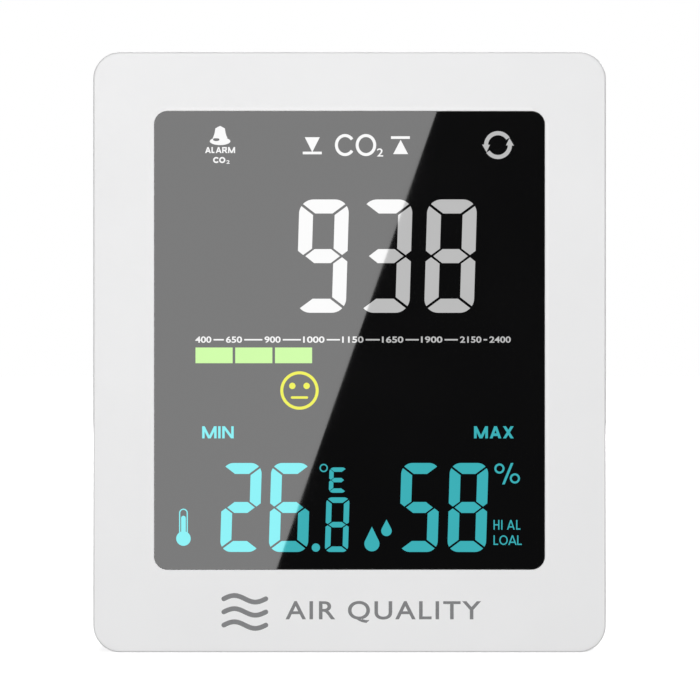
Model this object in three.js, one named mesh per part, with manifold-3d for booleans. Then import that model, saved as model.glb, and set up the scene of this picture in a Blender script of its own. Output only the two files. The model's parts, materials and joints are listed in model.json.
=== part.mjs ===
// A desktop carbon dioxide monitor: a white bezel and rear cover round a large liquid
// crystal display, with the sensors, boards, cell and keys inside and a fold-out leg behind.
// Millimetres, +Z up. The display faces -Y and the monitor stands on the plane Z = 0.
// Depths are measured backwards (+Y) from the front face, and the whole is centred at the end.
import * as THREE from "three";
import { mergeVertices } from "three/addons/utils/BufferGeometryUtils.js";
import Module from "manifold-3d";

const wasm = await Module();
wasm.setup();

// ---------------------------------------------------------------- driving dimensions

const WIDTH = 117;
const HEIGHT = 137;
const DEPTH = 29;
const CORNER = 6.2; // radius of the case's corners, seen from the front
const WALL = 2.2;
const MIDDLE_Z = HEIGHT / 2;

const FRONT_EDGE = 0.6; // rounding of the bezel's front edge
const BACK_EDGE = 5; // rounding of the rear cover's back edge, and inside it
const INNER_EDGE = 3.2;
const PARTING = 9.5; // depth where the rear cover begins
const PARTING_GAP = 0.3;
const BACK_INSIDE = DEPTH - WALL;

const WINDOW = { width: 89.2, height: 104.7, corner: 3.1, z: 71.2 };
const LENS = { gap: 0.12, front: 0.15, back: 1.55 };
const LEDGE = { width: 1.5, front: 1.7, back: 2.8 }; // what the lens is stuck to
const LIP = { outerSkin: 1.1, gap: 0.1, length: 1.5, endGap: 0.2 }; // tongue that locates the halves

// Screws: places, posts, pilot holes, and the size of the screw itself. A well is sunk for each
// case screw from the back, as deep as its head's seat.
const CASE_SCREW = {
  x: 49,
  rows: [9, 129],
  frontPost: 3.3,
  rearPost: 4,
  pilot: 1.25,
  clearance: 1.5,
  well: 3,
  seat: 16.5,
  size: { headRadius: 2.6, headHeight: 1.9, radius: 1.1, length: 12 },
};
const BOARD_SCREW = {
  x: 51,
  rows: [22, 115],
  post: 2.6,
  pilot: 0.95,
  clearance: 1.2,
  size: { headRadius: 2, headHeight: 1.2, radius: 0.8, length: 7 },
};
const KEY_SCREW = {
  x: 36.4,
  post: 2.4,
  pilot: 0.95,
  clearance: 1.2,
  size: { headRadius: 1.9, headHeight: 1.1, radius: 0.8, length: 4.5 },
};

// Depths of the display's layers, from its foam gasket back to its tray.
const LAYERS = {
  gasket: [2.8, 3.4],
  frontPolariser: [3.4, 3.6],
  frontGlass: [3.6, 4.7],
  rearGlass: [4.7, 5.8],
  rearPolariser: [5.8, 6.0],
  diffuser: [6.1, 6.4],
  lightGuide: [6.5, 9.5],
  reflector: [9.55, 9.75],
  tray: [5.9, 11],
  trayFloor: 9.8,
};
const GLASS = { width: 90.5, height: 106, contactLedge: 4, corner: 0.6 };
const TRAY = { wall: 1.5, gap: 0.2, corner: 1.2 };
const LAMP = { count: 8, length: 3.2, depth: 1, strip: 0.4, margin: 5 };
const GASKET_WIDTH = 1.2;
const SHEET_INSET = { side: 1.5, left: 0.8, end: 1 }; // how much smaller the films are than the glass
const DISPLAY_RIBBON = { width: 54, thickness: 0.2, slack: 2, landing: 6 };

const BOARD = { width: 108, low: 14, high: 123, front: 11.5, back: 13.1, corner: 2 };
const CHIP_HEIGHT = 1.4;
const MAIN_CHIP = { side: 12, x: -38, z: 78 };
const DRIVER_CHIP = { side: 10, x: -34, z: 30 };
const BUZZER = { radius: 6, height: 7, hole: 1.2, holeDepth: 1.5 };
const CLIMATE = {
  header: { width: 2.4, height: 9, x: -50 },
  board: { width: 11, height: 13, thickness: 1, lift: 2, x: -46.5, z: 47 },
  sensor: { side: 3, height: 1, rise: 3 },
};

const KEY_COUNT = 4;
const KEY_PITCH = 17;
const KEY_Z = 121;
const KEY = { width: 9, height: 5.5, top: 28.9, edge: 0.4, flangeFront: 25.8, flange: 0.8, rim: 1 };
const KEY_HOLE_GAP = 0.3;
const KEY_PANEL = { width: 78, height: 12, floor: 28.1 };
const KEY_BOARD = { width: 79, height: 11, front: 20.2, back: 21.4, corner: 1.5 };
const KEY_RIBBON = { width: 12, thickness: 0.3, x: 8, end: 108.5 };
const SWITCH = { side: 6, top: 24.9, hole: 1.9, plunger: 1.7, plungerFoot: 24.1, travel: 0.7 };

const LEG = { width: 56, foot: 7.6, hinge: 76, front: 25.5, back: 28.7, corner: 8, taper: 3 };
const LEG_PANEL = { margin: 8, end: 9, depth: 0.8, corner: 3 }; // shallow recess in the leg's back
const FOOT_PAD = { width: 30, height: 1.5, inset: 0.6, drop: 0.2, gap: 0.1 };
const LEG_GAP = 0.4;
const LEG_AXIS = (LEG.front + LEG.back) / 2;
const STUB = { radius: 1.1, hole: 1.35, length: 1.9 };
const TUB = { wall: 2.4, inside: 23.5, floor: 25.1, corner: 0.8, footRoom: 0.6 }; // what the leg folds into
const THUMB = { radius: 6.5, depth: 1.5, rise: 1.5 }; // hollow from which the leg's foot is lifted

const VENT = { rows: 8, pitch: 3.2, low: 84, length: 22, height: 1.6, x: 13.5 };
const SIDE_VENT = { rows: 7, pitch: 3.2, low: 43, height: 1.6, front: 12.5, back: 21.5 };
const SOUND = { x: 43, z: 62, ring: 3, hole: 0.8, count: 6 };
// A reversible charging socket: a thin sleeve round a tongue.
const USB = {
  z: 32,
  width: 9,
  height: 3.2,
  inner: 49.5,
  mouth: 57,
  gap: 0.4,
  skin: 0.35,
  back: 1.2,
  tongue: { thickness: 0.7, margin: 1.3, recess: 0.8 },
};
const SENSOR = {
  z: 96,
  lift: 2.4,
  board: { width: 34, height: 22, thickness: 1.2 },
  chamber: { width: 30, height: 18, thickness: 8, corner: 2.5, edge: 0.8 },
  header: { width: 20, height: 2.5, margin: 2 },
  well: { radius: 4, depth: 0.6, x: 7 },
  filter: { radius: 3.8, from: 0.55, to: 0.2 },
};
const CELL = { width: 50, low: 24, high: 58, front: 15, back: 23, corner: 2, edge: 1 };
const CELL_TAPE = { width: 40, height: 24 };
const WIRE = { radius: 0.6, x: 1.3, rise: 3 };
const PLUG = { x: -20, z: 66, width: 8, height: 5.5, back: 17.6 };

const ARC = 3; // half the steps in a hidden corner's arc
const FINE_ARC = 5; // and in one that can be seen
const POST_SIDES = 12;
const PILOT_SIDES = 8;
const SCREW_HOLE_SIDES = 14;
const PAST = 1; // how far a cutter reaches past what it cuts
const OVERLAP = 0.5; // how far a post reaches into the wall that it stands on

// ---------------------------------------------------------------- materials

function finish(color, roughness, metalness = 0, opacity = 1) {
  return new THREE.MeshStandardMaterial({
    color,
    roughness,
    metalness,
    opacity,
    transparent: opacity < 1,
  });
}

const MATERIALS = {
  whiteAbs: finish(0xececec, 0.45),
  lens: finish(0x202224, 0.05, 0, 0.35),
  glass: finish(0x0e0f10, 0.08),
  film: finish(0x0a0a0b, 0.3),
  foam: finish(0x1c1c1e, 0.95),
  tape: finish(0x26262a, 0.8),
  milky: finish(0xf4f6f8, 0.3),
  reflector: finish(0xf8f8f8, 0.25),
  whitePlastic: finish(0xf0f0ee, 0.5),
  board: finish(0x14552f, 0.4),
  chip: finish(0x17181a, 0.55),
  gold: finish(0xd0a850, 0.3, 1),
  membrane: finish(0xf6f6f2, 0.9),
  steel: finish(0xb4b6ba, 0.3, 1),
  blackPlastic: finish(0x1a1a1c, 0.5),
  ribbon: finish(0xb4702a, 0.35),
  cell: finish(0xb8bcc2, 0.35, 0.6),
  redWire: finish(0xb02020, 0.5),
  blackWire: finish(0x202022, 0.5),
  keyCap: finish(0xc9cbce, 0.5),
  rubber: finish(0x3a3a3c, 0.85),
};

// ---------------------------------------------------------------- geometry helpers

function solid(geometry) {
  const bare = geometry.clone();
  bare.deleteAttribute("normal");
  bare.deleteAttribute("uv");
  const merged = mergeVertices(bare, 1e-4);
  return new wasm.Manifold(
    new wasm.Mesh({
      numProp: 3,
      vertProperties: merged.attributes.position.array,
      triVerts: new Uint32Array(merged.index.array),
    }),
  );
}

function geometryOf(manifold) {
  const mesh = manifold.getMesh();
  const geometry = new THREE.BufferGeometry();
  geometry.setAttribute("position", new THREE.BufferAttribute(mesh.vertProperties, 3));
  geometry.setIndex(new THREE.BufferAttribute(mesh.triVerts, 1));
  return geometry;
}

const joined = (first, ...others) => others.reduce((sum, next) => sum.add(next), first);
const cut = (body, ...tools) => tools.reduce((left, tool) => left.subtract(tool), body);

// An outline drawn as seen from the front: x to the right, y upwards.
function roundedRect(width, height, corner, x = 0, y = 0) {
  const right = width / 2 - corner;
  const top = height / 2 - corner;
  const quarter = Math.PI / 2;
  const shape = new THREE.Shape();
  shape.moveTo(x + width / 2, y - top);
  shape.absarc(x + right, y + top, corner, 0, quarter);
  shape.absarc(x - right, y + top, corner, quarter, 2 * quarter);
  shape.absarc(x - right, y - top, corner, 2 * quarter, 3 * quarter);
  shape.absarc(x + right, y - top, corner, 3 * quarter, 4 * quarter);
  shape.closePath();
  return shape;
}

// A straight-sided outline with half-round ends.
function stadium(width, height, x = 0, y = 0) {
  const radius = Math.min(width, height) / 2;
  const reach = Math.max(width, height) / 2 - radius;
  const start = width > height ? -Math.PI / 2 : 0;
  const [acrossX, acrossY] = width > height ? [reach, 0] : [0, reach];
  const shape = new THREE.Shape();
  shape.absarc(x + acrossX, y + acrossY, radius, start, start + Math.PI);
  shape.absarc(x - acrossX, y - acrossY, radius, start + Math.PI, start + 2 * Math.PI);
  return shape;
}

// The case's own outline, drawn in by an inset.
const caseOutline = (inset) =>
  roundedRect(WIDTH - 2 * inset, HEIGHT - 2 * inset, CORNER - inset, 0, MIDDLE_Z);

const windowOutline = (inset) =>
  roundedRect(
    WINDOW.width - 2 * inset,
    WINDOW.height - 2 * inset,
    Math.max(WINDOW.corner - inset, 0.4),
    0,
    WINDOW.z,
  );

// Extrudes a front-view outline from one depth to another.
function slabGeometry(shape, from, to, options = {}) {
  const { edge = 0, edgeSteps = 2, curveSegments = ARC } = options;
  const geometry = new THREE.ExtrudeGeometry(shape, {
    depth: to - from - 2 * edge,
    curveSegments,
    bevelEnabled: edge > 0,
    bevelThickness: edge,
    bevelSize: edge,
    bevelOffset: -edge,
    bevelSegments: edgeSteps,
  });
  geometry.rotateX(Math.PI / 2);
  geometry.translate(0, to - edge, 0);
  return geometry;
}

const slab = (shape, from, to, options) => solid(slabGeometry(shape, from, to, options));

function box(width, depth, height, x, y, z) {
  return solid(new THREE.BoxGeometry(width, depth, height).translate(x, y, z));
}

// A box from one depth to another, centred on x and z.
const plate = (width, height, from, to, x, z) =>
  box(width, to - from, height, x, (from + to) / 2, z);

// A round rod that points backwards.
function rod(radius, from, to, x, z, sides = 16) {
  const geometry = new THREE.CylinderGeometry(radius, radius, to - from, sides);
  return solid(geometry.translate(x, (from + to) / 2, z));
}

// A round rod that points to the right.
function crossRod(radius, left, right, y, z, sides = 16) {
  const geometry = new THREE.CylinderGeometry(radius, radius, right - left, sides);
  geometry.rotateZ(Math.PI / 2);
  return solid(geometry.translate((left + right) / 2, y, z));
}

// An outline of the charging socket pushed to the right from x, at the socket's own place.
function sideways(outline, x, length, curveSegments) {
  const geometry = new THREE.ExtrudeGeometry(outline, {
    depth: length,
    curveSegments,
    bevelEnabled: false,
  });
  geometry.rotateX(Math.PI / 2);
  geometry.rotateZ(Math.PI / 2);
  return geometry.translate(x, BOARD.back + USB.height / 2, USB.z);
}

// A slab whose edge is rounded at one end only.
function softEnded(shape, from, to, edge, end, options = {}) {
  const past = end === "back" ? [from - 2 * edge, to] : [from, to + 2 * edge];
  const whole = slab(shape, ...past, { ...options, edge });
  const keep = plate(2 * WIDTH, 2 * HEIGHT, from, to, 0, MIDDLE_Z);
  return whole.intersect(keep);
}

const bothSides = (x) => [-x, x];
const places = ({ x, rows }) => rows.flatMap((z) => bothSides(x).map((side) => [side, z]));

// ---------------------------------------------------------------- case

function frontBezel() {
  const end = PARTING - PARTING_GAP;
  const outer = softEnded(caseOutline(0), 0, end, FRONT_EDGE, "front", {
    curveSegments: FINE_ARC,
  });
  const hollow = slab(caseOutline(WALL), LEDGE.back, end + PAST);
  const lensSeat = slab(windowOutline(0), -PAST, LEDGE.front);
  const sight = slab(windowOutline(LEDGE.width), -PAST, LEDGE.back + PAST);
  const rebate = slab(caseOutline(LIP.outerSkin), end - LIP.length - LIP.endGap, end + PAST);
  const posts = [];
  const pilots = [];
  for (const [x, z] of places(CASE_SCREW)) {
    posts.push(rod(CASE_SCREW.frontPost, LEDGE.back - OVERLAP, end, x, z, POST_SIDES));
    pilots.push(rod(CASE_SCREW.pilot, LEDGE.back + 0.8, end + PAST, x, z, 10));
  }
  for (const [x, z] of places(BOARD_SCREW)) {
    posts.push(rod(BOARD_SCREW.post, LEDGE.back - OVERLAP, BOARD.front, x, z, POST_SIDES));
    pilots.push(rod(BOARD_SCREW.pilot, LEDGE.back + 1.2, BOARD.front + PAST, x, z, PILOT_SIDES));
  }
  return cut(joined(cut(outer, hollow, lensSeat, sight, rebate), ...posts), ...pilots);
}

function ventCutters() {
  const slots = [];
  for (let row = 0; row < VENT.rows; row++)
    for (const x of bothSides(VENT.x)) {
      const outline = stadium(VENT.length, VENT.height, x, VENT.low + row * VENT.pitch);
      slots.push(slab(outline, BACK_INSIDE - PAST, DEPTH + PAST));
    }
  const { front, back, height } = SIDE_VENT;
  for (let row = 0; row < SIDE_VENT.rows; row++)
    for (const side of bothSides(WIDTH / 2)) {
      const z = SIDE_VENT.low + row * SIDE_VENT.pitch;
      slots.push(plate(3 * WALL, height, front, back, side, z));
    }
  return slots;
}

function soundCutters() {
  const holes = [[SOUND.x, SOUND.z]];
  for (let i = 0; i < SOUND.count; i++) {
    const turn = (2 * Math.PI * i) / SOUND.count;
    holes.push([SOUND.x + SOUND.ring * Math.cos(turn), SOUND.z + SOUND.ring * Math.sin(turn)]);
  }
  return holes.map(([x, z]) => rod(SOUND.hole, BACK_INSIDE - PAST, DEPTH + PAST, x, z, 8));
}

// The slot for the charging plug, through the right-hand wall.
function usbCutter() {
  const outline = stadium(USB.height + 2 * USB.gap, USB.width + 2 * USB.gap);
  return solid(sideways(outline, WIDTH / 2 - 1.5 * WALL, 3 * WALL, FINE_ARC));
}

const legMiddle = (LEG.foot + LEG.hinge) / 2;
const legLength = LEG.hinge - LEG.foot;
const legTop = LEG.hinge + (LEG.back - LEG.front) / 2;

// The outline of the hollow that the leg folds into, grown by a wall's thickness.
function tubOutline(grow) {
  const low = LEG.foot - LEG_GAP - TUB.footRoom - grow;
  const high = legTop + LEG_GAP + grow;
  const width = LEG.width + 2 * (LEG_GAP + grow);
  return roundedRect(width, high - low, TUB.corner + grow, 0, (high + low) / 2);
}

function rearCover() {
  const outer = softEnded(caseOutline(0), PARTING, DEPTH, BACK_EDGE, "back", {
    edgeSteps: 5,
    curveSegments: FINE_ARC,
  });
  const hollow = softEnded(caseOutline(WALL), PARTING - PAST, BACK_INSIDE, INNER_EDGE, "back");
  const tip = PARTING - PARTING_GAP - LIP.length;
  const tongue = cut(
    slab(caseOutline(LIP.outerSkin + LIP.gap), tip, PARTING + OVERLAP),
    slab(caseOutline(WALL), tip - PAST, PARTING + 2 * PAST),
  );
  const inner = [slab(tubOutline(TUB.wall), TUB.inside, DEPTH)];
  const tools = [slab(tubOutline(0), TUB.floor, DEPTH + PAST)];
  for (const [x, z] of places(CASE_SCREW)) {
    inner.push(rod(CASE_SCREW.rearPost, PARTING, DEPTH, x, z, POST_SIDES));
    tools.push(rod(CASE_SCREW.well, CASE_SCREW.seat, DEPTH + PAST, x, z, 20));
    tools.push(rod(CASE_SCREW.clearance, PARTING - PAST, CASE_SCREW.seat + OVERLAP, x, z, 10));
  }
  for (const x of bothSides(KEY_SCREW.x)) {
    inner.push(rod(KEY_SCREW.post, KEY_BOARD.back, DEPTH - PAST, x, KEY_Z, POST_SIDES));
    const pilotEnd = BACK_INSIDE - 0.8;
    tools.push(rod(KEY_SCREW.pilot, KEY_BOARD.back - PAST, pilotEnd, x, KEY_Z, PILOT_SIDES));
  }
  for (let i = 0; i < KEY_COUNT; i++) {
    const hole = stadium(KEY.width + 2 * KEY_HOLE_GAP, KEY.height + 2 * KEY_HOLE_GAP, keyX(i), KEY_Z);
    tools.push(slab(hole, BACK_INSIDE - PAST, DEPTH + PAST));
  }
  const keyPanel = stadium(KEY_PANEL.width, KEY_PANEL.height, 0, KEY_Z);
  tools.push(slab(keyPanel, KEY_PANEL.floor, DEPTH + PAST));
  const stubReach = LEG.width / 2 + STUB.length + LEG_GAP;
  tools.push(crossRod(STUB.hole, -stubReach, stubReach, LEG_AXIS, LEG.hinge));
  tools.push(rod(THUMB.radius, DEPTH - THUMB.depth, DEPTH + PAST, 0, LEG.foot + THUMB.rise, 24));
  const shell = cut(outer, hollow);
  const fittings = joined(...inner).intersect(outer);
  return cut(
    joined(shell, fittings, tongue),
    ...tools,
    ...ventCutters(),
    ...soundCutters(),
    usbCutter(),
  );
}

// ---------------------------------------------------------------- display

function windowFrame(inset, width, [from, to]) {
  return cut(
    slab(windowOutline(inset), from, to),
    slab(windowOutline(inset + width), from - PAST, to + PAST),
  );
}

function glassPane(height, z, [from, to]) {
  return slabGeometry(roundedRect(GLASS.width, height, GLASS.corner, 0, z), from, to, {
    curveSegments: 2,
  });
}

const trayOuter = (grow) => ({
  width: GLASS.width + 2 * grow,
  height: GLASS.height + GLASS.contactLedge + 2 * grow,
  z: WINDOW.z - GLASS.contactLedge / 2,
});

// The white tray that holds the backlight behind the glass.
function displayTray() {
  const outer = trayOuter(TRAY.wall);
  const inner = trayOuter(TRAY.gap);
  const [from, to] = LAYERS.tray;
  const body = slab(roundedRect(outer.width, outer.height, TRAY.corner, 0, outer.z), from, to);
  const hollow = plate(inner.width, inner.height, from - PAST, LAYERS.trayFloor, 0, inner.z);
  return cut(body, hollow);
}

// A strip of side-firing lamps along the light guide's right-hand edge.
function ledStrip() {
  const x = GLASS.width / 2 - LAMP.strip;
  const length = GLASS.height - 2 * LAMP.margin;
  const [from, to] = LAYERS.lightGuide;
  const strip = plate(LAMP.strip, length, from, to, x, WINDOW.z);
  const lamps = [];
  for (let i = 0; i < LAMP.count; i++) {
    const z = WINDOW.z + ((i + 0.5) / LAMP.count - 0.5) * length;
    lamps.push(plate(LAMP.depth, LAMP.length, from + 0.7, to - 0.7, x - 0.6, z));
  }
  return joined(strip, ...lamps);
}

// A flat cable: a side-view line of points (depth, height) given a thickness and a width.
function flatCable(points, thickness, width, x) {
  const line = points.map(([depth, z]) => new THREE.Vector2(depth, z));
  const near = [];
  const far = [];
  line.forEach((point, i) => {
    const along = line[Math.min(i + 1, line.length - 1)].clone().sub(line[Math.max(i - 1, 0)]);
    const side = new THREE.Vector2(-along.y, along.x).setLength(thickness / 2);
    near.push(point.clone().add(side));
    far.unshift(point.clone().sub(side));
  });
  const shape = new THREE.Shape([...near, ...far]);
  const geometry = new THREE.ExtrudeGeometry(shape, { depth: width, bevelEnabled: false });
  // The side view's (depth, height, width) becomes (Y, Z, X).
  const turn = new THREE.Matrix4().makeBasis(
    new THREE.Vector3(0, 1, 0),
    new THREE.Vector3(0, 0, 1),
    new THREE.Vector3(1, 0, 0),
  );
  geometry.applyMatrix4(turn);
  return geometry.translate(x - width / 2, 0, 0);
}

// Points of a half circle in the side view, from one depth to another, bulging downwards.
function loopBelow(from, to, z, steps) {
  const radius = (to - from) / 2;
  const points = [];
  for (let i = 0; i <= steps; i++) {
    const turn = Math.PI + (Math.PI * i) / steps;
    points.push([(from + to) / 2 + radius * Math.cos(turn), z + radius * Math.sin(turn)]);
  }
  return points;
}

function displayRibbon() {
  const { width, thickness, slack, landing } = DISPLAY_RIBBON;
  const glassBottom = WINDOW.z - GLASS.height / 2;
  const front = LAYERS.rearGlass[0] - thickness;
  const back = BOARD.back + thickness;
  const bend = glassBottom - GLASS.contactLedge - slack;
  const start = [front, glassBottom - 2 * thickness];
  const end = [back, BOARD.low + landing];
  return flatCable([start, ...loopBelow(front, back, bend, 10), end], thickness, width, 0);
}

// ---------------------------------------------------------------- boards and what is on them

function mainBoard() {
  const height = BOARD.high - BOARD.low;
  const middle = (BOARD.high + BOARD.low) / 2;
  const outline = roundedRect(BOARD.width, height, BOARD.corner, 0, middle);
  const holes = places(BOARD_SCREW).map(([x, z]) =>
    rod(BOARD_SCREW.clearance, BOARD.front - PAST, BOARD.back + PAST, x, z, SCREW_HOLE_SIDES),
  );
  return cut(slab(outline, BOARD.front, BOARD.back), ...holes);
}

function sensorChamber(from) {
  const { width, height, thickness, corner, edge } = SENSOR.chamber;
  const { radius, depth, x: wellX } = SENSOR.well;
  const to = from + thickness;
  const can = slab(roundedRect(width, height, corner, 0, SENSOR.z), from, to, { edge });
  const wells = bothSides(wellX).map((x) => rod(radius, to - depth, to + PAST, x, SENSOR.z));
  return cut(can, ...wells);
}

function humiditySensorBoard() {
  const { header, board } = CLIMATE;
  const lifted = BOARD.back + board.lift;
  return joined(
    plate(header.width, header.height, BOARD.back, lifted, header.x, board.z),
    plate(board.width, board.height, lifted, lifted + board.thickness, board.x, board.z),
  );
}

function buzzer() {
  const top = BOARD.back + BUZZER.height;
  return cut(
    rod(BUZZER.radius, BOARD.back, top, SOUND.x, SOUND.z, 24),
    rod(BUZZER.hole, top - BUZZER.holeDepth, top + PAST, SOUND.x, SOUND.z, 10),
  );
}

// A reversible charging socket that lies on the main board with its mouth to the right.
function usbSocket() {
  const y = BOARD.back + USB.height / 2;
  const length = USB.mouth - USB.inner;
  const bore = stadium(USB.height - 2 * USB.skin, USB.width - 2 * USB.skin);
  const sleeve = solid(sideways(stadium(USB.height, USB.width), USB.inner, length, ARC));
  const cavity = solid(sideways(bore, USB.inner + USB.back, length, ARC));
  const { thickness, margin, recess } = USB.tongue;
  const reach = length - 2 * recess;
  const x = USB.inner + recess / 2 + reach / 2;
  const tongue = box(reach, thickness, USB.width - 2 * margin, x, y, USB.z);
  return joined(cut(sleeve, cavity), tongue);
}

function tactSwitch(i) {
  const body = plate(SWITCH.side, SWITCH.side, KEY_BOARD.back, SWITCH.top, keyX(i), KEY_Z);
  const floor = SWITCH.plungerFoot - SWITCH.travel;
  return cut(body, rod(SWITCH.hole, floor, SWITCH.top + PAST, keyX(i), KEY_Z));
}

function keyBoard() {
  const outline = roundedRect(KEY_BOARD.width, KEY_BOARD.height, KEY_BOARD.corner, 0, KEY_Z);
  const { front, back } = KEY_BOARD;
  const holes = bothSides(KEY_SCREW.x).map((x) =>
    rod(KEY_SCREW.clearance, front - PAST, back + PAST, x, KEY_Z, SCREW_HOLE_SIDES),
  );
  return cut(slab(outline, KEY_BOARD.front, KEY_BOARD.back), ...holes);
}

function keyRibbon() {
  const { width, thickness, x } = KEY_RIBBON;
  const start = [KEY_BOARD.front - 0.2, KEY_Z - 1];
  const end = [BOARD.back + thickness, KEY_RIBBON.end];
  const points = [start];
  const steps = 10;
  const top = KEY_Z - KEY_BOARD.height / 2 - 0.5;
  for (let i = 0; i <= steps; i++) {
    const share = i / steps;
    const ease = share * share * (3 - 2 * share);
    points.push([start[0] + (end[0] - start[0]) * ease, top + (end[1] + 2 - top) * share]);
  }
  points.push(end);
  return flatCable(points, thickness, width, x);
}

// One of the two wires from the cell to its plug.
function cellWire(x) {
  const depth = (CELL.front + CELL.back) / 2;
  const plugDepth = (BOARD.back + PLUG.back) / 2;
  const curve = new THREE.CatmullRomCurve3([
    new THREE.Vector3(x, depth, CELL.high + 0.1),
    new THREE.Vector3(x, depth, CELL.high + 1.4),
    new THREE.Vector3(x, (depth + plugDepth) / 2, CELL.high + WIRE.rise),
    new THREE.Vector3(x, plugDepth, PLUG.z - PLUG.height / 2 - 1.2),
    new THREE.Vector3(x, plugDepth, PLUG.z - PLUG.height / 2 - 0.1),
  ]);
  const section = new THREE.Shape().absarc(0, 0, WIRE.radius, 0, 2 * Math.PI);
  return new THREE.ExtrudeGeometry(section, { steps: 8, curveSegments: 4, extrudePath: curve });
}

// ---------------------------------------------------------------- screws

// A pan-headed cross-recess screw whose head's seat is at depth 0 and whose point is at -length.
function screw({ headRadius, headHeight, radius, length }) {
  const profile = new THREE.Path();
  profile.moveTo(0, -length);
  profile.lineTo(radius * 0.5, -length);
  profile.lineTo(radius, -length + radius);
  profile.lineTo(radius, 0);
  profile.lineTo(headRadius, 0);
  profile.lineTo(headRadius, headHeight * 0.45);
  profile.quadraticCurveTo(headRadius * 0.9, headHeight * 0.95, headRadius * 0.5, headHeight);
  profile.lineTo(0, headHeight);
  const body = solid(new THREE.LatheGeometry(profile.getPoints(2), 12));
  const wing = 0.28 * headRadius;
  const reach = 1.2 * headRadius;
  const recess = joined(
    box(wing, headHeight, reach, 0, headHeight, 0),
    box(reach, headHeight, wing, 0, headHeight, 0),
  );
  return geometryOf(cut(body, recess));
}

// ---------------------------------------------------------------- moving pieces

function keyX(i) {
  return (i - (KEY_COUNT - 1) / 2) * KEY_PITCH;
}

// A key cap about its own centre line, at its own depth.
function keyCap() {
  const outline = stadium(KEY.width, KEY.height);
  const wide = stadium(KEY.width + 2 * KEY.rim, KEY.height + 2 * KEY.rim);
  const shaft = softEnded(outline, KEY.flangeFront + 0.2, KEY.top, KEY.edge, "back");
  const flange = slab(wide, KEY.flangeFront, KEY.flangeFront + KEY.flange);
  return joined(shaft, flange);
}

function standLeg() {
  const thickness = LEG.back - LEG.front;
  const footWidth = LEG.width - 2 * LEG.taper;
  const shape = new THREE.Shape();
  const corner = LEG.corner;
  shape.moveTo(-LEG.width / 2, LEG.hinge);
  shape.lineTo(-footWidth / 2, LEG.foot + corner);
  shape.quadraticCurveTo(-footWidth / 2, LEG.foot, -footWidth / 2 + corner, LEG.foot);
  shape.lineTo(footWidth / 2 - corner, LEG.foot);
  shape.quadraticCurveTo(footWidth / 2, LEG.foot, footWidth / 2, LEG.foot + corner);
  shape.lineTo(LEG.width / 2, LEG.hinge);
  shape.closePath();
  const blade = slab(shape, LEG.front, LEG.back, { curveSegments: FINE_ARC });
  const barrel = crossRod(thickness / 2, -LEG.width / 2, LEG.width / 2, LEG_AXIS, LEG.hinge, 24);
  const reach = LEG.width / 2 + STUB.length;
  const stubs = crossRod(STUB.radius, -reach, reach, LEG_AXIS, LEG.hinge, 16);
  const { margin, end, depth, corner: panelCorner } = LEG_PANEL;
  const panelOutline = roundedRect(
    LEG.width - 2 * margin,
    legLength - 2 * end,
    panelCorner,
    0,
    legMiddle + 1,
  );
  const panel = slab(panelOutline, LEG.back - depth, LEG.back + PAST);
  const inset = FOOT_PAD.inset - FOOT_PAD.gap;
  const seatWidth = FOOT_PAD.width + 4 * FOOT_PAD.gap;
  const padSeat = plate(seatWidth, 2, LEG.front + inset, LEG.back - inset, 0, LEG.foot);
  return cut(joined(blade, barrel, stubs), panel, padSeat);
}

// ---------------------------------------------------------------- assembly

const monitor = new THREE.Group();
monitor.position.y = -DEPTH / 2;

function add(name, shape, material, place = [0, 0, 0]) {
  const geometry = shape.isBufferGeometry ? shape : geometryOf(shape);
  const mesh = new THREE.Mesh(geometry, MATERIALS[material]);
  mesh.name = name;
  mesh.position.set(...place);
  monitor.add(mesh);
  return mesh;
}

function addCase() {
  add("front_bezel", frontBezel(), "whiteAbs");
  add("rear_cover", rearCover(), "whiteAbs");
  const caseScrew = screw(CASE_SCREW.size);
  places(CASE_SCREW).forEach(([x, z], i) =>
    add(`case_screw_${i + 1}`, caseScrew, "steel", [x, CASE_SCREW.seat, z]),
  );
}

function addDisplay() {
  const full = GLASS.height + GLASS.contactLedge;
  const fullZ = WINDOW.z - GLASS.contactLedge / 2;
  const inside = GLASS.height - 2 * SHEET_INSET.end;
  const lens = slabGeometry(windowOutline(LENS.gap), LENS.front, LENS.back, {
    curveSegments: FINE_ARC,
  });
  add("display_lens", lens, "lens");
  add("lens_adhesive", windowFrame(0.3, LEDGE.width - 0.3, [LENS.back, LEDGE.front]), "tape");
  add("display_gasket", windowFrame(LEDGE.width + 0.1, GASKET_WIDTH, LAYERS.gasket), "foam");
  add("front_polariser", glassPane(inside, WINDOW.z, LAYERS.frontPolariser), "film");
  add("front_glass", glassPane(GLASS.height, WINDOW.z, LAYERS.frontGlass), "glass");
  add("rear_glass", glassPane(full, fullZ, LAYERS.rearGlass), "glass");
  add("rear_polariser", glassPane(inside, WINDOW.z, LAYERS.rearPolariser), "film");
  const sheetWidth = GLASS.width - 2 * SHEET_INSET.side;
  const sheet = roundedRect(sheetWidth, inside, 0.5, -SHEET_INSET.left, WINDOW.z);
  const steps = { curveSegments: 1 };
  add("diffuser_sheet", slabGeometry(sheet, ...LAYERS.diffuser, steps), "milky");
  add("light_guide", slabGeometry(sheet, ...LAYERS.lightGuide, steps), "milky");
  add("reflector_sheet", slabGeometry(sheet, ...LAYERS.reflector, steps), "reflector");
  add("backlight_strip", ledStrip(), "whitePlastic");
  add("display_tray", displayTray(), "whitePlastic");
  add("display_ribbon", displayRibbon(), "ribbon");
}

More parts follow.
